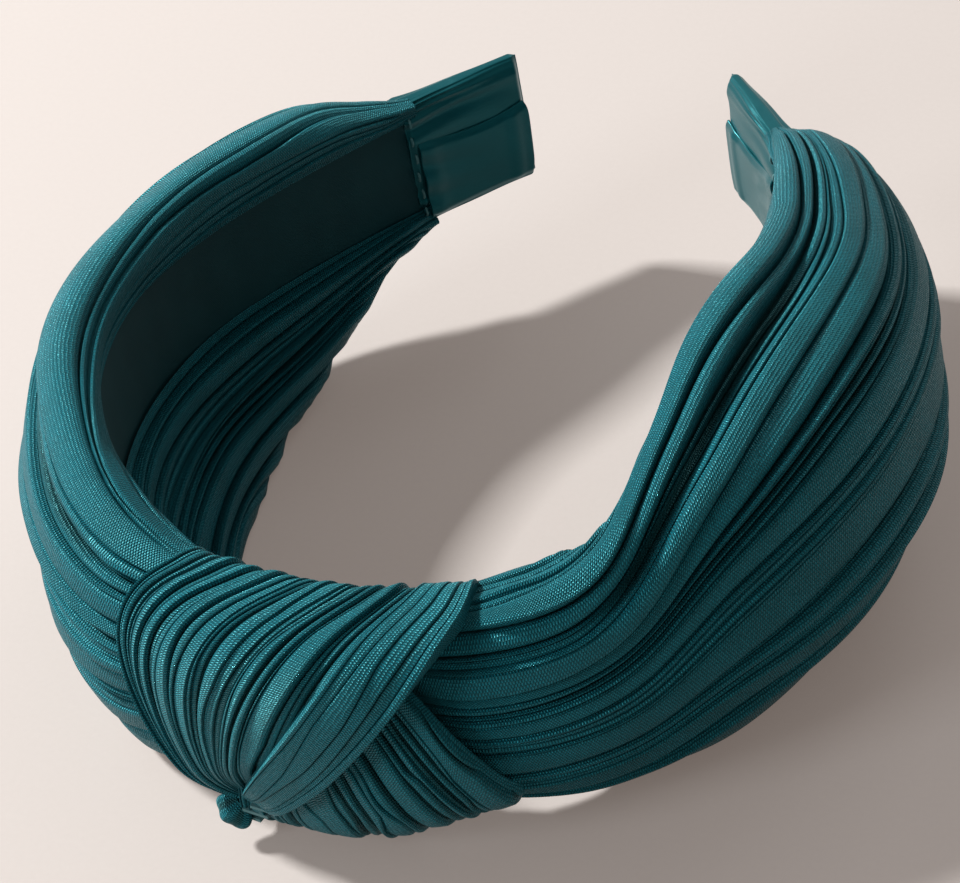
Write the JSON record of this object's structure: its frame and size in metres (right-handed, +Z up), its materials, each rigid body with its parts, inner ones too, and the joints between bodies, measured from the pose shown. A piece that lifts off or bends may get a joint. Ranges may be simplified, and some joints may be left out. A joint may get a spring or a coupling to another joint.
{
  "type": "knotted headband",
  "caption": "Open springy headband covered in pleated fabric with a wrapped knot at the crown and satin-bound tips.",
  "frame": {"origin": "centre of the crown arc, on the surface that the lower hem rests on", "axes": "+Z up along the axis of the hoop, -Y towards the knot, +Y towards the open tips, +X to the right arm as seen from the knot"},
  "size_m": [0.1527, 0.1653, 0.065],
  "materials": {
    "band_core": "matt moulded plastic",
    "lining": "smooth woven ribbon",
    "pleated_fabric": "fine pleated crepe knit with a soft sheen",
    "satin_ribbon": "glossy satin",
    "thread": "spun sewing thread"
  },
  "bodies": {
    "crown": {"band_core_crown": "band_core", "lining_crown": "lining", "knot_over_strand": "pleated_fabric", "knot_under_strand": "pleated_fabric", "knot_tack_stitches": "thread"},
    "left_arm": {"band_core_left": "band_core", "lining_left": "lining", "pleated_panel_left": "pleated_fabric", "tip_ribbon_left": "satin_ribbon", "tip_ribbon_lap_left": "satin_ribbon", "gather_stitches_left": "thread"},
    "right_arm": {"band_core_right": "band_core", "lining_right": "lining", "pleated_panel_right": "pleated_fabric", "tip_ribbon_right": "satin_ribbon", "tip_ribbon_lap_right": "satin_ribbon", "gather_stitches_right": "thread"}
  },
  "joints": [
    {"name": "left_arm_spread", "type": "hinge", "parent": "crown", "child": "left_arm", "pos_m": [-0.02626, -0.06055, 0.034], "axis": [0, 0, 1], "range_deg": [-5, 12], "stiffness_Nm_per_rad": 1.5},
    {"name": "right_arm_spread", "type": "hinge", "parent": "crown", "child": "right_arm", "pos_m": [0.02626, -0.06055, 0.034], "axis": [0, 0, -1], "range_deg": [-5, 12], "stiffness_Nm_per_rad": 1.5}
  ]
}
